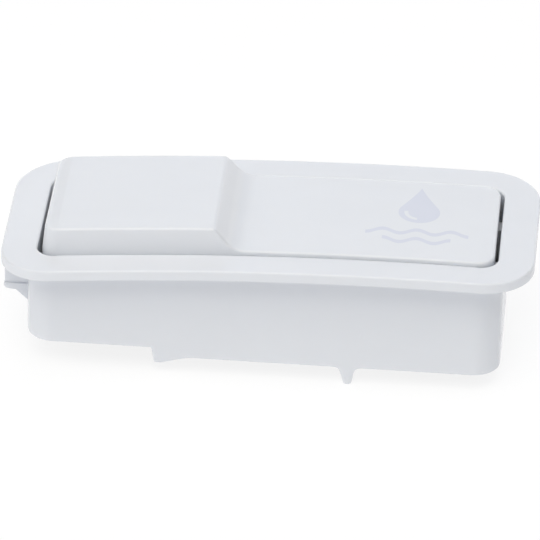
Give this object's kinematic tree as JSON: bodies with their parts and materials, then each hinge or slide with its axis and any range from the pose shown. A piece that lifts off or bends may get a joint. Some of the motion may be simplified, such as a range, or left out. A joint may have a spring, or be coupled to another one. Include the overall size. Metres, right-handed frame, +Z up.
{
  "type": "cistern push button",
  "caption": "Rectangular flush button for a cistern lid: arched flange over an open box, a hinged rocking plate with a raised pad, return spring and adjustable pusher.",
  "frame": {"origin": "middle of the lid cut-out at the level of the lid, where the flange's underside would pass over it", "axes": "+X along the button from the raised pad to the hinge, +Y across it, +Z up out of the lid"},
  "size_m": [0.12, 0.0506, 0.0368],
  "materials": {
    "housing_plastic": "white moulded plastic, soft gloss",
    "plate_plastic": "white moulded plastic, soft gloss",
    "inner_plastic": "light grey acetal, satin",
    "rod_plastic": "natural white acetal, satin",
    "pin_steel": "ground stainless steel",
    "screw_steel": "stainless steel",
    "spring_steel": "drawn stainless spring wire",
    "buffer_rubber": "black elastomer, matt"
  },
  "bodies": {
    "base": {"housing": "housing_plastic", "spring_bridge": "inner_plastic", "bridge_screw_front": "screw_steel", "bridge_screw_rear": "screw_steel", "stop_buffer_front": "buffer_rubber", "stop_buffer_rear": "buffer_rubber", "return_spring": "spring_steel"},
    "plate": {"push_plate": "plate_plastic", "hinge_pin": "pin_steel"},
    "wheel": {"adjusting_wheel": "inner_plastic"},
    "pusher": {"pusher_rod": "rod_plastic", "pusher_tip": "buffer_rubber"}
  },
  "joints": [
    {"name": "plate_press", "type": "hinge", "parent": "base", "child": "plate", "pos_m": [0.0465, 0, -0.0032], "axis": [0, -1, 0], "range_deg": [0, 4.2], "stiffness_Nm_per_rad": 5.4, "springref_deg": -2.86, "deforming": ["return_spring"]},
    {"name": "wheel_turn", "type": "hinge", "parent": "plate", "child": "wheel", "pos_m": [-0.038, 0, -0.0057], "axis": [0, 0, 1], "range_deg": [-720, 720]},
    {"name": "pusher_adjust", "type": "slide", "parent": "plate", "child": "pusher", "axis": [0, 0, 1], "range_m": [-0.0025, 0.0025]}
  ],
  "couplings": [
    {"joint": "wheel_turn", "follows": "pusher_adjust", "rad_per_m": 5026.5}
  ]
}
